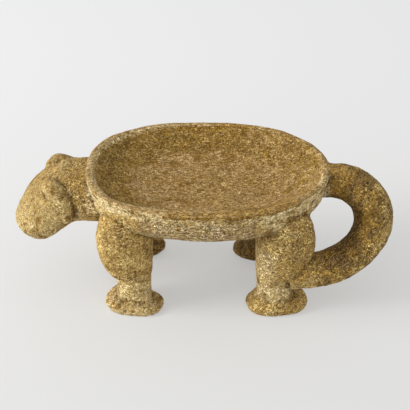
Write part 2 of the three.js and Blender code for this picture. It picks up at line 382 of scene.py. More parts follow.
def dress(mesh, sizes):
    """Fills the inner corners as a carver leaves them, and wears the edges."""
    points = read_points(mesh)
    edges = read_edges(mesh)
    for turn in range(sizes.fillet_passes):
        if turn % PASSES_PER_NORMAL == 0:
            write_points(mesh, points)
            normals = read_normals(mesh)
        pull = around(points, edges) - points
        out = (pull * normals).sum(1)
        slide = pull - out[:, None] * normals
        points += slide * FILL_ALONG + np.maximum(out, 0)[:, None] * normals * FILL_OUT
    for _ in range(sizes.wear_passes):
        for share in WEAR_STEPS:
            points += (around(points, edges) - points) * share
    write_points(mesh, points)
    points -= read_normals(mesh) * sizes.overlap
    write_points(mesh, points)


def basin_reach(points):
    """How far out each point lies in the basin's plan: 0 in the middle and 1 at the rim."""
    low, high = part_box("grinding_dish")
    middle = [(a + b) / 2 for a, b in zip(low, high)]
    half = [(b - a) / 2 for a, b in zip(low, high)]
    return (
        np.abs((points[:, 0] - middle[0]) / (half[0] - BASIN_INSET)) ** BASIN_SQUARENESS
        + np.abs(points[:, 1] / (half[1] - BASIN_INSET)) ** BASIN_SQUARENESS
    ) ** (1 / BASIN_SQUARENESS)


def basin_share(points):
    """1 on the ground inside of the dish and 0 outside it."""
    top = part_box("grinding_dish")[1][2]
    inside = 1 - smooth_share(basin_reach(points), 0.97, 1.008)
    above = smooth_share(points[:, 2], top - 25 * MM, top - 22.5 * MM)
    return inside * above


def away_from(points, names, chosen):
    """The distance of the chosen points from the nearest of the named members."""
    away = np.full(len(points), FAR_AWAY)
    trees = []
    for mesh in (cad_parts[name].data for name in names):
        corners = [tuple(vert.co) for vert in mesh.vertices]
        faces = [tuple(face.vertices) for face in mesh.polygons]
        trees.append(BVHTree.FromPolygons(corners, faces))
    for at in np.flatnonzero(chosen):
        away[at] = min(tree.find_nearest(points[at])[3] for tree in trees)
    return away


def meetings(points):
    """How surely each point is on a thigh, and how near it is to a groove between members."""
    along, across, up = points.T
    # Only the points near where members meet are measured, since each takes a search.
    sides = (up > 60 * MM) & (up < 104 * MM) & (np.abs(across) > 25 * MM) & (
        along > -100 * MM) & (along < 104 * MM) & (basin_reach(points) > 0.7)
    legs = away_from(points, [name for name in CORE_NODES if name.endswith("leg")], sides)
    dish = away_from(points, ["grinding_dish"], sides)
    thigh = np.where(sides, smooth_share(dish - legs, -0.5 * MM, 0.5 * MM), up < 70 * MM)
    groove = np.exp(-(np.maximum(legs, dish) / (1.5 * MM)) ** 2)
    nape = (along < -98 * MM) & (along > -126 * MM)
    ears = away_from(points, ["left_ear", "right_ear"], nape)
    neck = away_from(points, ["neck"], nape)
    behind = np.exp(-(np.maximum(ears, neck) / (3.5 * MM)) ** 2) * (1 - 0.7 * (across > 0))
    return thigh, groove, behind


def worn_share(points):
    """1 where hands and the handstone have worn the stone smooth: the basin and the rim."""
    low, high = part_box("grinding_dish")
    rim = smooth_share(points[:, 2], high[2] - 7 * MM, high[2] - 3 * MM)
    rim *= smooth_share(points[:, 0], low[0] - 1 * MM, low[0] + 1 * MM)
    rim *= 1 - smooth_share(points[:, 0], high[0] - 1 * MM, high[0] + 1 * MM)
    return np.maximum(basin_share(points), rim)


def surface_tree():
    """Geometry nodes that swell, dent, pit and grain a dressed stone surface."""
    tree = bpy.data.node_groups.new("Pecked Surface", "GeometryNodeTree")
    tree.is_modifier = True
    face = tree.interface
    face.new_socket("Geometry", in_out="INPUT", socket_type="NodeSocketGeometry")
    for name in (
        "Swell Size", "Swell Height", "Dent Size", "Dent Depth", "Pit Size", "Pit Depth",
        "Pit Share", "Grain Size", "Grain Height",
    ):
        face.new_socket(name, in_out="INPUT", socket_type="NodeSocketFloat")
    face.new_socket("Stone", in_out="INPUT", socket_type="NodeSocketMaterial")
    face.new_socket("Geometry", in_out="OUTPUT", socket_type="NodeSocketGeometry")
    entry = node(tree, "NodeGroupInput").outputs
    place = node(tree, "GeometryNodeInputPosition").outputs[0]
    outwards = node(tree, "GeometryNodeInputNormal").outputs[0]
    worn = node(
        tree, "GeometryNodeInputNamedAttribute", {"Name": "worn"}, data_type="FLOAT").outputs[0]
    rough = maths(tree, "SUBTRACT", 1.0, maths(tree, "MULTIPLY", worn, 0.6))

    def noise(size, detail, seed):
        scale = maths(tree, "DIVIDE", 1.0, size)
        made = node(
            tree, "ShaderNodeTexNoise",
            {"Vector": place, "W": seed, "Scale": scale, "Detail": detail},
            noise_dimensions="4D")
        return maths(tree, "MULTIPLY", maths(tree, "SUBTRACT", made.outputs[0], 0.5), 2.5)

    swell = maths(tree, "MULTIPLY", noise(entry["Swell Size"], 1.0, 3.0), entry["Swell Height"])
    dent = maths(tree, "MULTIPLY", noise(entry["Dent Size"], 2.0, 7.0), entry["Dent Depth"])
    grain = noise(entry["Grain Size"], 2.0, 11.0)
    raised = maths(tree, "MULTIPLY", grain, entry["Grain Height"])
    cells = node(
        tree, "ShaderNodeTexVoronoi",
        {"Vector": place, "W": 5.0, "Scale": maths(tree, "DIVIDE", 1.0, entry["Pit Size"])},
        voronoi_dimensions="4D", feature="F1")
    chance = node(tree, "FunctionNodeSeparateColor", {0: cells.outputs["Color"]}).outputs
    chosen = maths(tree, "LESS_THAN", chance[0], entry["Pit Share"])
    width = ramp(tree, chance[1], 0.0, 1.0, 0.28, 0.55)
    bowl = maths(
        tree, "SUBTRACT", 1.0, maths(tree, "DIVIDE", cells.outputs["Distance"], width), clamp=True)
    pit = maths(tree, "MULTIPLY", maths(tree, "POWER", bowl, 0.7), chosen)
    sunk = maths(tree, "MULTIPLY", pit, entry["Pit Depth"])
    fine = maths(tree, "ADD", dent, maths(tree, "SUBTRACT", raised, sunk))
    total = maths(tree, "ADD", swell, maths(tree, "MULTIPLY", fine, rough))
    offset = node(tree, "ShaderNodeVectorMath", {0: outwards, "Scale": total}, operation="SCALE")
    kept = node(
        tree, "GeometryNodeStoreNamedAttribute",
        {"Geometry": entry["Geometry"], "Name": "pit", "Value": pit}, data_type="FLOAT")
    moved = node(
        tree, "GeometryNodeSetPosition",
        {"Geometry": kept.outputs[0], "Offset": offset.outputs[0]})
    real = node(tree, "GeometryNodeRealizeInstances", {"Geometry": moved.outputs[0]})
    coated = node(
        tree, "GeometryNodeSetMaterial",
        {"Geometry": real.outputs[0], "Material": entry["Stone"]})
    node(tree, "NodeGroupOutput", {"Geometry": coated.outputs[0]})
    return tree


def add_surface(block, tree, values):
    """Puts the surface tree on the block, with its inputs set by name."""
    modifier = block.modifiers.new("surface", "NODES")
    modifier.node_group = tree
    for item in tree.interface.items_tree:
        if item.item_type == "SOCKET" and item.in_out == "INPUT" and item.name in values:
            modifier[item.identifier] = values[item.name]
    block.update_tag()


class BlockPlaces:
    """Where the block's points lie, which its colour zones go by."""

    def __init__(self, mesh):
        low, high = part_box("grinding_dish")
        self.points = read_points(mesh)
        self.along, self.across, self.up = self.points.T
        self.outwards = read_normals(mesh)
        self.upwards = self.outwards[:, 2]
        self.top = high[2]
        self.reach = basin_reach(self.points)
        self.basin = basin_share(self.points)
        self.outside = 1 - self.basin
        self.on_dish = smooth_share(self.along, low[0] - 1 * MM, low[0] + 2 * MM)
        self.on_dish *= 1 - smooth_share(self.along, high[0] - 1 * MM, high[0] + 1 * MM)
        self.thigh = stored(mesh, "thigh")
        self.leg = self.thigh * rise(self.along, -102, -98)
        self.rear = rise(self.along, 0, 20)
        self.face = fall(self.along, -132, -116)


def relief_zones(mesh):
    """How far each point stands out of the stone close to it, and out of the stone around it."""
    points, normals, edges = read_points(mesh), read_normals(mesh), read_edges(mesh)
    # Both shares feed painted light: the fine one lightens small ridges as painted highlights and
    # darkens small hollows as painted shade, and the broad one darkens the broad hollows as painted
    # shade.
    smooth = points
    for passes, name, width in ((2, "chip", 0.15 * MM), (34, "hollow_shade", 1.1 * MM)):
        for _ in range(passes):
            smooth = smooth + (around(smooth, edges) - smooth) * RELIEF_STEP
        depth = ((smooth - points) * normals).sum(1)
        store(mesh, name, np.clip(depth / width, -1, 1) * 0.5 + 0.5)


def basin_zones(mesh, at):
    """The ground inside of the dish, and the basin's wall, which is paler towards the tail."""
    lip = smooth_share(at.up, at.top - 2 * MM, at.top - 1 * MM) * at.on_dish * at.outside
    store(mesh, "ground", np.clip(at.basin + lip, 0, 1))
    side = 1 - 0.35 * rise(at.along, 20, 60)
    store(mesh, "basin_wall", at.basin * smooth_share(at.reach, 0.6, 0.76) * side)


def rim_zones(mesh, at):
    """The rust below the lip, the dark line under it, and the pale crest with its chips."""
    middle = rise(at.along, -50, -10) * fall(at.along, 68, 90)
    edge = at.top - 6 * MM + 2 * MM * rise(at.along, 40, 75)
    rust = smooth_share(at.up, edge - 0.6 * MM, edge + 0.6 * MM) * at.on_dish * at.outside
    store(mesh, "rim", rust * middle)
    line = np.exp(-((at.up - edge) / (1.1 * MM)) ** 2) * at.on_dish * at.outside
    store(mesh, "lip_line", line * middle)
    crest = np.exp(-((at.reach - 1.015) / 0.02) ** 2)
    crest *= smooth_share(at.up, at.top - 2.5 * MM, at.top - 1 * MM)
    crest *= fall(at.along, 0, 30)
    for chip in RIM_CHIPS:
        crest = np.maximum(crest, 1.8 * spot(at.points, chip, 3))
    store(mesh, "crest", crest)


def tail_zones(mesh, at):
    """The tail, its outer side and the inside of its loop. Gives the tail's share back."""
    upper = rise(at.along, 104, 115)
    lower = rise(at.along, 96, 108) * fall(at.up, 50, 62)
    tail = np.clip(upper + lower, 0, 1)
    store(mesh, "tail", tail)
    loop_middle = np.array([110, 0, 74]) * MM
    inwards = (loop_middle - at.points) * [1, 0, 1]
    inwards /= np.maximum(np.linalg.norm(inwards, axis=1, keepdims=True), TINY)
    facing = smooth_share((at.outwards * inwards).sum(1), 0.15, 0.75)
    store(mesh, "tail_outside", smooth_share(at.outwards[:, 0], 0.1, 0.8))
    # Painted shade on the inner side of the tail's loop.
    store(mesh, "tail_inside_shade", facing * rise(at.along, 102, 112))
    return tail


def weathered_share(at):
    """The greyish stone under the wall, and a little of it on the cheek."""
    under = fall(at.up, 103, 112) * rise(at.up, 60, 68) * (1 - at.thigh)
    under *= rise(at.along, -68, -40) * fall(at.along, 38, 66)
    under *= 1 - smooth_share(at.upwards, -0.1, 0.4)
    cheek = rise(at.along, -142, -132) * fall(at.along, -108, -100) * fall(at.up, 92, 104)
    return under + 0.3 * cheek


def shin_share(at):
    """The near shins, and the front of the near rear leg above its shin."""
    shin = at.leg * fall(at.up, 24, 50)
    shank = at.leg * at.rear * fall(at.up, 58, 84) * fall(at.along, 58, 70)
    shin = np.maximum(shin, shank)
    shin *= fall(at.across, 0, 5) * (1 - at.rear * fall(at.up, 8, 16))
    return shin * (1 - 0.6 * rise(at.along, 74, 84))


def pale_share(at):
    """The pale skin on the dish's wall, mostly at its ends, and on the sides of the neck."""
    ends = rise(-at.along, 62, 92) + 1.4 * rise(at.along, 38, 66)
    ends *= 1 + 0.5 * rise(at.along, 40, 80)
    below_rim = (1 - 0.25 * rise(at.along, -40, -10)) * rise(at.up, 102, 109)
    pale = below_rim + ends * rise(at.up, 78, 84)
    pale *= at.on_dish * at.outside * (1 - at.thigh)
    neck = 0.7 * rise(at.along, -116, -104) * (1 - at.on_dish) * (at.along < 0)
    return pale + neck * (1 - smooth_share(at.upwards, 0.0, 0.6))


def stain_zones(mesh, at):
    """The brown stain of the thighs and the nape, and painted shade on the far legs and on the left
    part of the basin.
    """
    nape = rise(at.along, -118, -108) * fall(at.along, -100, -94)
    nape += 0.85 * fall(at.along, -118, -108)
    nape *= smooth_share(at.upwards, 0.1, 0.7)
    # Painted shade on the far legs, fading out on the sides that face the back.
    far_leg_shade = at.leg * rise(at.across, 0, 5)
    far_leg_shade *= 1 - 0.8 * smooth_share(at.outwards[:, 1], 0.1, 0.6)
    thigh = at.leg * rise(at.up, 34, 46) * (0.4 + 0.1 * at.rear)
    thigh *= 1 - 0.7 * rise(at.up, 78, 92)
    # The far legs' painted shade goes into the stain zone as well as into the shade zone below.
    store(mesh, "stain_and_shade", np.clip(thigh + 0.95 * nape + far_leg_shade + 0.1 * at.face, 0, 1))
    # Painted shade on the basin's left part, which the rim keeps from the light at the left.
    shade = at.basin * fall(at.along, -80, -40) * smooth_share(at.reach, 0.5, 0.8)
    far_rear_leg_shade = far_leg_shade * at.rear
    store(mesh, "grime", np.clip(0.2 * shade + 0.6 * far_leg_shade + 0.6 * far_rear_leg_shade, 0, 1))


def grain_zones(mesh, at, tail, under, shin):
    """How strongly the grains speckle the stone, and how far it is scratched."""
    coarse = 0.25 * rise(-at.along, 100, 106) * fall(-at.along, 112, 118)
    coarse += 0.2 * tail * (1 - at.leg * (1 - at.rear)) + 0.25 * at.leg * at.rear
    coarse = np.maximum(coarse, 0.25 * np.maximum(shin * rise(at.up, 14, 24), under))
    store(mesh, "speckle", 1 + coarse * at.outside - 0.25 * at.face * rise(at.up, 78, 92))
    wall = rise(at.up, 70, 76) * (1 - np.abs(at.outwards[:, 0])) * at.outside * at.on_dish
    store(mesh, "scratch", np.clip(0.5 * at.basin + 0.9 * wall, 0, 1))


def zones(mesh):
    """Keeps the shares of the stone's zones, which the materials read."""
    relief_zones(mesh)
    at = BlockPlaces(mesh)
    basin_zones(mesh, at)
    rim_zones(mesh, at)
    stain_zones(mesh, at)
    tail, under, shin = tail_zones(mesh, at), weathered_share(at), shin_share(at)
    grain_zones(mesh, at, tail, under, shin)
    store(mesh, "under", under)
    heel = spot(at.points, (91, -58, 28), 13)
    bloom = 0.95 * shin + 0.1 * at.face + pale_share(at) + 0.5 * heel
    store(mesh, "bloom", np.clip(bloom, 0, 1.6))
    skin = fall(at.along, -120, -106) * (1 - 0.65 * smooth_share(at.upwards, 0.2, 0.8))
    store(mesh, "face", skin)
    toes = fall(at.up, 14, 26) * smooth_share(at.upwards, 0.0, 0.6)
    snout_and_throat = spot(at.points, (-149, -26, 88), 9) + spot(at.points, (-94, -30, 84), 7)
    store(mesh, "toe", np.clip(toes + snout_and_throat, 0, 1))


def part_block(block):
    """Cuts the block at its parting planes and marks each face with the member it belongs to."""
    work = bmesh.new()
    work.from_mesh(block.data)

    def cut(place, axis, wanted):
        point = [0.0, 0.0, 0.0]
        point[axis] = place
        faces = [
            face for face in work.faces
            if abs(face.calc_center_median()[axis] - place) < CUT_REACH
            and wanted(face.calc_center_median())]
        geometry = set(faces)
        for face in faces:
            geometry.update(face.edges)
            geometry.update(face.verts)
        normal = [0.0, 0.0, 0.0]
        normal[axis] = 1.0
        bmesh.ops.bisect_plane(work, geom=list(geometry), plane_co=point, plane_no=normal)

    cut(NECK_CUT, 0, lambda at: True)
    cut(LEG_CUT, 2, lambda at: NECK_CUT < at.x < TAIL_END_CUT + CUT_REACH)
    cut(TAIL_ROOT_CUT, 0, lambda at: at.z > LEG_CUT)
    cut(TAIL_END_CUT, 0, lambda at: at.z < LEG_CUT)
    member = work.faces.layers.int.new("member")
    for face in work.faces:
        at = face.calc_center_median()
        if at.x < NECK_CUT:
            face[member] = HEAD
        elif at.x > (TAIL_ROOT_CUT if at.z > LEG_CUT else TAIL_END_CUT):
            face[member] = TAIL
        elif at.z > LEG_CUT:
            face[member] = DISH
        elif at.x < 0:
            face[member] = FRONT_LEFT if at.y < 0 else FRONT_RIGHT
        else:
            face[member] = REAR_LEFT if at.y < 0 else REAR_RIGHT
    work.to_mesh(block.data)
    work.free()


def take_piece(name, member, nodes, material):
    """Parts one member from the block, closed where it was cut, and puts it in its nodes' place."""
    block = bpy.data.objects[BLOCK]
    work = bmesh.new()
    work.from_mesh(block.data)
    layer = work.faces.layers.int["member"]
    others = [face for face in work.faces if face[layer] != member]
    bmesh.ops.delete(work, geom=others, context="FACES")
    if not work.faces:
        raise RuntimeError(f"the block has no faces for {name}")
    edges = [edge for edge in work.edges if edge.is_boundary]
    closed = bmesh.ops.holes_fill(work, edges=edges, sides=0)["faces"]
    for face in closed:
        face[layer] = 0
    bmesh.ops.triangulate(work, faces=closed)
    if any(edge.is_boundary for edge in work.edges):
        raise RuntimeError(f"{name} isn't closed")
    mesh = bpy.data.meshes.new(name)
    work.to_mesh(mesh)
    work.free()
    mesh.materials.clear()
    mesh.materials.append(material)
    mesh.polygons.foreach_set("material_index", np.zeros(len(mesh.polygons), np.int32))
    mesh.shade_smooth()
    keep_normals(mesh)
    mesh.attributes.remove(mesh.attributes["member"])
    mesh.attributes.remove(mesh.attributes["stone_normal"])
    piece = fresh_object(name, mesh)
    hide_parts(*nodes)
    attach(piece, "root")
    return piece


def keep_normals(mesh):
    """Gives the piece the unbroken block's normals, so that no line shows where it was parted."""
    normals = np.empty(len(mesh.vertices) * 3, np.float32)
    mesh.attributes["stone_normal"].data.foreach_get("vector", normals)
    corners = np.empty(len(mesh.loops), np.int32)
    mesh.loops.foreach_get("vertex_index", corners)
    wanted = normals.reshape(-1, 3)[corners]
    flat = np.empty(len(mesh.polygons) * 3, np.float32)
    mesh.polygons.foreach_get("normal", flat)
    members = np.empty(len(mesh.polygons), np.int32)
    mesh.attributes["member"].data.foreach_get("value", members)
    sides = np.empty(len(mesh.polygons), np.int32)
    mesh.polygons.foreach_get("loop_total", sides)
    cap = np.repeat(members == 0, sides)
    wanted[cap] = np.repeat(flat.reshape(-1, 3), sides, axis=0)[cap]
    lengths = np.maximum(np.linalg.norm(wanted, axis=1, keepdims=True), TINY)
    mesh.normals_split_custom_set(wanted / lengths)


def grain_group():
    """A shader group that gives the tone and height of the stone's mineral grains."""
    tree = bpy.data.node_groups.new("Mineral Grain", "ShaderNodeTree")
    for name in ("Grain Size", "Contrast", "Scratches"):
        tree.interface.new_socket(name, in_out="INPUT", socket_type="NodeSocketFloat")
    for name in ("Tone", "Pale", "Dark", "Streak", "Height"):
        kind = "NodeSocketColor" if name == "Tone" else "NodeSocketFloat"
        tree.interface.new_socket(name, in_out="OUTPUT", socket_type=kind)
    entry = node(tree, "NodeGroupInput").outputs
    place = node(tree, "ShaderNodeTexCoord").outputs["Object"]

    def noise(vector, scale, detail, roughness=0.5):
        inputs = {"Vector": vector, "Scale": scale, "Detail": detail, "Roughness": roughness}
        return node(tree, "ShaderNodeTexNoise", inputs).outputs

    def vectors(operation, first, key, second):
        inputs = {0: first, key: second}
        return node(tree, "ShaderNodeVectorMath", inputs, operation=operation).outputs[0]

    shift = vectors("SUBTRACT", noise(place, 800.0, 2.0)["Color"], 1, (0.5, 0.5, 0.5))
    bent = vectors("ADD", place, 1, vectors("SCALE", shift, "Scale", 0.8 * MM))

    def grains(share, seed):
        cells = node(
            tree, "ShaderNodeTexVoronoi",
            {"Vector": bent, "W": seed,
             "Scale": maths(tree, "DIVIDE", 1.0, times(tree, entry["Grain Size"], share))},
            voronoi_dimensions="4D", feature="F1")
        chance = node(tree, "ShaderNodeSeparateColor", {0: cells.outputs["Color"]}).outputs
        return chance, cells.outputs["Distance"]

    def centred(value):
        return maths(tree, "SUBTRACT", value, 0.5)

    # The cells' three chances give a grain's tone, whether it is pale and whether it is dark.
    fine, far = grains(1.0, 2.0)
    coarse, _ = grains(1.9, 6.0)
    drawn_out = vectors("MULTIPLY", place, 1, (0.3, 1.0, 1.0))
    scratch = centred(noise(drawn_out, 760.0, 2.0, 0.6)[0])
    scraped = times(tree, times(tree, scratch, 3.2), entry["Scratches"])
    uneven = ramp(tree, noise(place, 110.0, 2.0)[0], 0.3, 0.7, 0.65, 1.25)
    tone = maths(tree, "ADD", centred(fine[0]), times(tree, centred(coarse[0]), 0.4))
    tone = times(tree, times(tree, tone, entry["Contrast"]), uneven)
    tone = maths(tree, "ADD", tone, scraped)
    steps = [maths(tree, "POWER", 2.0, times(tree, tone, reach)) for reach in TONE_REACH]
    tone = node(tree, "ShaderNodeCombineColor", dict(enumerate(steps))).outputs[0]
    crowd = ramp(tree, noise(place, 85.0, 3.0)[0], 0.38, 0.62)
    rarity = maths(tree, "SUBTRACT", 0.12, times(tree, crowd, 0.24))
    pale = ramp(tree, maths(tree, "SUBTRACT", fine[1], rarity), 0.8, 0.9)
    pale = times(tree, pale, ramp(tree, far, 0.6, 0.3))
    dark = times(tree, ramp(tree, fine[2], 0.84, 0.95), ramp(tree, far, 0.6, 0.35))
    height = maths(tree, "ADD", times(tree, fine[0], 0.5), times(tree, coarse[0], 0.5))
    height = maths(tree, "SUBTRACT", maths(tree, "ADD", height, scraped), dark)
    streak = times(tree, ramp(tree, scratch, 0.07, 0.16), entry["Scratches"])
    node(
        tree, "NodeGroupOutput",
        {"Tone": tone, "Pale": pale, "Dark": dark, "Streak": streak, "Height": height})
    return tree


def stain_group():
    """A shader group that gives the slow change of colour over the stone, by its zones."""
    tree = bpy.data.node_groups.new("Stone Stain", "ShaderNodeTree")
    for name in STAINS:
        tree.interface.new_socket(name, in_out="INPUT", socket_type="NodeSocketColor")
    tree.interface.new_socket("Colour", in_out="OUTPUT", socket_type="NodeSocketColor")
    entry = node(tree, "NodeGroupInput").outputs
    place = node(tree, "ShaderNodeTexCoord").outputs["Object"]

    def cloud(scale, detail, seed, low, high):
        """A noise that sets in between low and high."""
        made = node(
            tree, "ShaderNodeTexNoise",
            {"Vector": place, "W": seed, "Scale": scale, "Detail": detail, "Roughness": 0.6},
            noise_dimensions="4D")
        return ramp(tree, made.outputs[0], low, high)

    def over(under, colour, share, strength):
        """A stain laid over a colour, where its share says and at its strength."""
        return blend(tree, times(tree, share, strength), under, entry[colour])

    broad = cloud(30.0, 3.0, 1.0, 0.38, 0.66)
    patch = cloud(95.0, 4.0, 4.0, 0.4, 0.66)
    small = cloud(210.0, 3.0, 6.0, 0.4, 0.68)
    warm = cloud(42.0, 3.0, 8.0, 0.5, 0.72)
    blotch = cloud(75.0, 5.0, 13.0, 0.45, 0.58)
    mottle = cloud(230.0, 3.0, 21.0, 0.45, 0.6)
    ragged = times(tree, maths(tree, "SUBTRACT", patch, 0.5), 0.9)

    def torn(name, low, high):
        """A zone whose edge is ragged."""
        return ramp(tree, maths(tree, "ADD", zone(tree, name), ragged), low, high)

    base = over(entry["Ochre"], "Brown", broad, 0.55)
    # The stain zone also carries the far legs' painted shade.
    base = over(base, "Brown", torn("stain_and_shade", 0.0, 1.2), 0.85)
    base = over(base, "Brown", patch, 0.5)
    base = over(base, "Rust", warm, 0.3)
    base = over(base, "Cream", torn("bloom", 0.0, 1.2), 0.95)
    base = over(base, "Sage", torn("face", -0.3, 0.6), 0.85)
    floor = over(over(entry["Pink"], "Moss", broad, 0.5), "Lilac", warm, 0.2)
    side = over(over(entry["Moss"], "Rust", patch, 0.35), "Umber_Shade", broad, 0.45)
    inside = blend(tree, torn("basin_wall", 0.1, 0.9), floor, side)
    base = blend(tree, zone(tree, "ground"), base, inside)
    base = over(base, "Lilac", torn("under", 0.1, 0.9), 0.8)
    bark = over(entry["Bark"], "Ochre", zone(tree, "tail_outside"), 0.85)
    bark = over(over(bark, "Umber_Shade", mottle, 0.4), "Umber_Shade", blotch, 0.75)
    base = blend(tree, times(tree, zone(tree, "tail"), 0.95), base, bark)
    # Painted shade on the inner side of the tail's loop.
    base = over(base, "Umber_Shade", zone(tree, "tail_inside_shade"), 0.85)
    rusty = times(tree, zone(tree, "toe"), ramp(tree, patch, 0.1, 0.8))
    base = over(base, "Rust", rusty, 0.45)
    base = over(base, "Rust", torn("rim", 0.0, 0.6), 0.95)
    line = times(tree, zone(tree, "lip_line"), ramp(tree, patch, 0.0, 0.55, 0.3, 1.0))
    base = over(base, "Umber_Shade", line, 0.5)
    base = over(base, "Cream", zone(tree, "crest"), 0.45)
    # Painted shade in the broad hollows and creases.
    hollow_shade = maths(tree, "ADD", zone(tree, "hollow_shade"), times(tree, ragged, 0.12))
    base = over(base, "Umber_Shade", ramp(tree, hollow_shade, 0.54, 0.78), 0.4)
    # Painted shade in the groove between the thighs and the wall, and behind the ears.
    groove = times(tree, zone(tree, "groove"), 0.1)
    crease_shade = maths(tree, "MAXIMUM", groove, times(tree, zone(tree, "behind_ear"), 0.4))
    base = over(base, "Umber_Shade", crease_shade, ramp(tree, patch, 0.0, 0.8, 0.5, 1.0))
    base = over(base, "Umber_Shade", small, 0.22)
    base = over(base, "Umber_Shade", times(tree, zone(tree, "stain_and_shade"), mottle), 0.3)
    # Painted shade on the far legs and on the basin's left part.
    base = over(base, "Umber_Shade", torn("grime", 0.0, 1.0), 0.7)
    node(tree, "NodeGroupOutput", {"Colour": base})
    return tree


def stone_material(name, grain, stain):
    """One member's stone, with its stains and grains, dull, with painted highlights on its small
    ridges and painted shade in its small hollows and pits.
    """
    colours = bpy.context.scene.metate_colours
    pale, dark = tuple(colours.pale), tuple(colours.dark)
    material = bpy.data.materials.new(name)
    material.use_nodes = True
    tree = material.node_tree
    tree.nodes.clear()
    body = node(
        tree, "ShaderNodeGroup", {key: getattr(colours, key.lower()) for key in STAINS},
        node_tree=stain)
    speckle = zone(tree, "speckle")
    speck = node(
        tree, "ShaderNodeGroup",
        {"Grain Size": SHADER_GRAIN_SIZE, "Contrast": times(tree, speckle, GRAIN_CONTRAST),
         "Scratches": zone(tree, "scratch")},
        node_tree=grain)

    def over(under, colour, share, strength):
        return blend(tree, times(tree, share, strength), under, colour)

    chip = zone(tree, "chip")
    tone = blend(tree, 1.0, body.outputs["Colour"], speck.outputs["Tone"], "MULTIPLY")
    # Painted highlight: the small ridges that the chip share finds are lightened.
    tone = over(tone, pale, ramp(tree, chip, 0.5, 0.1), 0.18)
    tone = over(tone, pale, speck.outputs["Pale"], times(tree, speckle, 0.38))
    tone = over(tone, pale, speck.outputs["Streak"], 0.45)
    # Painted shade: the small hollows and the open pits are darkened.
    low = maths(tree, "MAXIMUM", ramp(tree, chip, 0.55, 1.0), times(tree, zone(tree, "pit"), 0.7))
    tone = over(tone, dark, low, 0.7)
    tone = over(tone, dark, speck.outputs["Dark"], 0.7)
    bump = node(
        tree, "ShaderNodeBump",
        {"Strength": 1.0, "Distance": BUMP_DEPTH, "Height": speck.outputs["Height"]})
    shader = node(
        tree, "ShaderNodeBsdfPrincipled",
        {"Base Color": tone, "Roughness": ROUGHNESS, "Specular IOR Level": SPECULAR,
         "Normal": bump.outputs[0]})
    out = node(tree, "ShaderNodeOutputMaterial", {"Surface": shader.outputs[0]})
    out.is_active_output = True
    return material


def stone_materials():
    """The materials of the dish, the body and the tail, made once."""
    names = ("pecked_dish_stone", "pecked_body_stone", "pecked_tail_stone")
    if names[0] not in bpy.data.materials:
        grain, stain = grain_group(), stain_group()
        for name in names:
            stone_material(name, grain, stain)
    return [bpy.data.materials[name] for name in names]


class METATE_OT_rough_stone(bpy.types.Operator):
    """Roughs out, dresses and pecks the block of stone that the pieces are parted from"""

    bl_idname = "metate.rough_stone"
    bl_label = "Rough Out Stone"

    def execute(self, context):
        sizes = context.scene.metate_sizes
        block = fresh_object(BLOCK, joined_members(sizes.overlap))
        remesh = block.modifiers.new("cells", "REMESH")
        remesh.mode = "VOXEL"
        remesh.voxel_size = sizes.cell
        settle(block)
        dress(block.data, sizes)
        points = read_points(block.data)
        thigh, groove, behind = meetings(points)
        deep = groove * sizes.groove_depth + behind * sizes.ear_groove_depth
        write_points(block.data, points - read_normals(block.data) * deep[:, None])
        store(block.data, "worn", worn_share(points))
        store(block.data, "thigh", thigh)
        store(block.data, "groove", groove)
        store(block.data, "behind_ear", behind)
        block.data.shade_smooth()
        add_surface(block, surface_tree(), {
            "Swell Size": sizes.swell_size, "Swell Height": sizes.swell_height,
            "Dent Size": sizes.dent_size, "Dent Depth": sizes.dent_depth,
            "Pit Size": sizes.pit_size, "Pit Depth": sizes.pit_depth,
            "Pit Share": sizes.pit_share,
            "Grain Size": sizes.grain_size, "Grain Height": sizes.grain_height,
            "Stone": stone_materials()[1],
        })
        settle(block)
        points = read_points(block.data)
        low, high = (np.array(corner) for corner in CAD_BOX)
        write_points(block.data, np.clip(points, low, high))
        zones(block.data)
        part_block(block)
        normals = block.data.attributes.new("stone_normal", "FLOAT_VECTOR", "POINT")
        normals.data.foreach_set("vector", read_normals(block.data).astype(np.float32).ravel())
        return {"FINISHED"}


class METATE_OT_dish(bpy.types.Operator):
    """Parts the grinding dish from the block"""

    bl_idname = "metate.dish"
    bl_label = "Make Dish"

    def execute(self, context):
        take_piece("dish", DISH, ["grinding_dish"], stone_materials()[0])
        return {"FINISHED"}


class METATE_OT_head(bpy.types.Operator):
    """Parts the head, with its neck and ears, from the block"""

    bl_idname = "metate.head"
    bl_label = "Make Head"

    def execute(self, context):
        take_piece(
            "animal_head", HEAD, ["head", "neck", "left_ear", "right_ear"],
            stone_materials()[1])
        return {"FINISHED"}


class METATE_OT_legs(bpy.types.Operator):
    """Parts the four legs from the block"""

    bl_idname = "metate.legs"
    bl_label = "Make Legs"

    def execute(self, context):
        for name, member in (
            ("front_left", FRONT_LEFT), ("front_right", FRONT_RIGHT),
            ("rear_left", REAR_LEFT), ("rear_right", REAR_RIGHT),
        ):
            take_piece(
                f"{name}_foot_and_shin", member, [f"{name}_leg"], stone_materials()[1])
        return {"FINISHED"}


class METATE_OT_tail(bpy.types.Operator):
    """Parts the looped tail from the block"""

    bl_idname = "metate.tail"
    bl_label = "Make Tail"

    def execute(self, context):
        take_piece("looped_tail", TAIL, ["tail"], stone_materials()[2])
        return {"FINISHED"}


class METATE_OT_clear_block(bpy.types.Operator):
    """Takes away what is left of the block"""

    bl_idname = "metate.clear_block"
    bl_label = "Clear Block"

    def execute(self, context):
        bpy.data.objects.remove(bpy.data.objects[BLOCK])
        return {"FINISHED"}


class METATE_OT_stage(bpy.types.Operator):
    """Sets up the floor, the lights and the camera"""

    bl_idname = "metate.stage"
    bl_label = "Make Stage"

    def execute(self, context):
        studio = context.scene.metate_studio
        make_floor(studio)
        make_lights(studio)
        make_camera(studio)
        return {"FINISHED"}


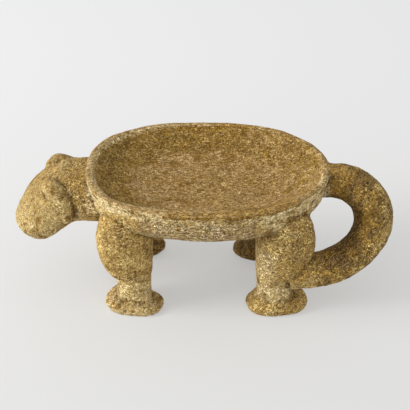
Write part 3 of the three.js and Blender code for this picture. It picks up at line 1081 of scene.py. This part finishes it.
def make_floor(studio):
    """A plain pale floor that grows lighter towards the back."""
    half = 9.0
    mesh = bpy.data.meshes.new("floor")
    corners = [(-half, -half, 0), (half, -half, 0), (half, half, 0), (-half, half, 0)]
    mesh.from_pydata(corners, [], [(0, 1, 2, 3)])
    floor = fresh_object("floor", mesh)
    material = bpy.data.materials.new("floor_paper")
    material.use_nodes = True
    tree = material.node_tree
    tree.nodes.clear()
    place = node(tree, "ShaderNodeTexCoord").outputs["Object"]
    parts = node(tree, "ShaderNodeSeparateXYZ", {0: place}).outputs
    front, back = -0.25, 0.5
    mix = blend(
        tree, ramp(tree, parts[1], front, back), tuple(studio.floor), tuple(studio.far_floor))
    shader = node(
        tree, "ShaderNodeBsdfPrincipled",
        {"Base Color": mix, "Roughness": 1.0, "Specular IOR Level": 0.0})
    plain = node(tree, "ShaderNodeEmission", {"Color": mix, "Strength": 1.0})
    share = maths(tree, "MULTIPLY", seen_directly(tree), studio.plain_share)
    both = node(tree, "ShaderNodeMixShader", {0: share, 1: shader.outputs[0], 2: plain.outputs[0]})
    node(tree, "ShaderNodeOutputMaterial", {"Surface": both.outputs[0]})
    mesh.materials.append(material)


def seen_directly(tree):
    """1 for what the camera sees, also in a mirror or through glass, and 0 for other light."""
    path = node(tree, "ShaderNodeLightPath").outputs
    seen = maths(tree, "MAXIMUM", path["Is Camera Ray"], path["Is Glossy Ray"])
    return maths(tree, "MAXIMUM", seen, path["Is Transmission Ray"])


def make_lights(studio):
    """Even light from all round, and a soft light at the left."""
    world = bpy.data.worlds.new("studio")
    bpy.context.scene.world = world
    world.use_nodes = True
    tree = world.node_tree
    tree.nodes.clear()
    gaze = node(tree, "ShaderNodeTexCoord").outputs["Generated"]
    height = node(tree, "ShaderNodeSeparateXYZ", {0: gaze}).outputs[2]
    height = maths(tree, "POWER", maths(tree, "MAXIMUM", height, 0.0), 0.7)
    even = node(
        tree, "ShaderNodeMapRange",
        {"Value": height, "To Min": studio.around, "To Max": studio.overhead}).outputs[0]
    strength = node(
        tree, "ShaderNodeMapRange",
        {"Value": seen_directly(tree), "To Min": even, "To Max": studio.backdrop}).outputs[0]
    sky = node(tree, "ShaderNodeBackground", {"Color": (1, 1, 1, 1), "Strength": strength})
    node(tree, "ShaderNodeOutputWorld", {"Surface": sky.outputs[0]})
    data = bpy.data.lights.new("window_lamp", "AREA")
    data.shape = "DISK"
    data.size = studio.window_size
    data.energy = studio.window_power
    lamp = fresh_object("window_lamp", data)
    turn, lift = studio.window_azimuth, studio.window_elevation
    lamp.location = studio.window_distance * Vector((
        math.cos(turn) * math.cos(lift), math.sin(turn) * math.cos(lift), math.sin(lift)))
    lamp.rotation_euler = (-lamp.location).to_track_quat("-Z", "Y").to_euler()


def make_camera(studio):
    """The camera, at the photograph's viewing angle."""
    turn, lift = studio.camera_azimuth, studio.camera_elevation
    back = Vector((
        math.sin(turn) * math.cos(lift), -math.cos(turn) * math.cos(lift), math.sin(lift)))
    right = Vector((math.cos(turn), math.sin(turn), 0))
    over = back.cross(right)
    target = Vector((0, 0, 55 * MM))
    # The focal length, the picture's width and how far the aim is moved, all in pixels.
    focal, width = 1327.8, 410
    aim_right, aim_up = 3.0, 20.2
    data = bpy.data.cameras.new("camera")
    data.sensor_width = 36
    data.lens = focal / width * data.sensor_width
    data.clip_start = 0.01
    data.clip_end = 40
    camera = fresh_object("camera", data)
    camera.location = target + back * studio.camera_distance
    gaze = -back + right * (aim_right / focal) + over * (aim_up / focal)
    camera.rotation_euler = gaze.to_track_quat("-Z", "Y").to_euler()
    bpy.context.scene.camera = camera
    bpy.context.scene.view_settings.view_transform = "Standard"


class METATE_PT_panel(bpy.types.Panel):
    """Lists the sizes, the colours and the steps"""

    bl_label = "Effigy Metate"
    bl_idname = "METATE_PT_panel"
    bl_space_type = "VIEW_3D"
    bl_region_type = "UI"
    bl_category = "Metate"

    def draw(self, context):
        for group in (
            context.scene.metate_sizes, context.scene.metate_colours, context.scene.metate_studio,
        ):
            box = self.layout.box()
            for key in group.bl_rna.properties.keys():
                if key not in ("rna_type", "name"):
                    box.prop(group, key)
        for step in STEPS:
            self.layout.operator(step.bl_idname)


STEPS = (
    METATE_OT_stage, METATE_OT_rough_stone, METATE_OT_dish, METATE_OT_head, METATE_OT_legs,
    METATE_OT_tail, METATE_OT_clear_block,
)
GROUPS = {
    "metate_sizes": MetateSizes, "metate_colours": MetateColours, "metate_studio": MetateStudio,
}


def register():
    for name, group in GROUPS.items():
        bpy.utils.register_class(group)
        setattr(bpy.types.Scene, name, bpy.props.PointerProperty(type=group))
    for step in (*STEPS, METATE_PT_panel):
        bpy.utils.register_class(step)


def unregister():
    for step in (METATE_PT_panel, *reversed(STEPS)):
        bpy.utils.unregister_class(step)
    for name, group in GROUPS.items():
        delattr(bpy.types.Scene, name)
        bpy.utils.unregister_class(group)


def main():
    register()
    bpy.ops.metate.stage()
    bpy.ops.metate.rough_stone()
    bpy.ops.metate.dish()
    bpy.ops.metate.head()
    bpy.ops.metate.legs()
    bpy.ops.metate.tail()
    bpy.ops.metate.clear_block()


if __name__ == "__main__":
    main()
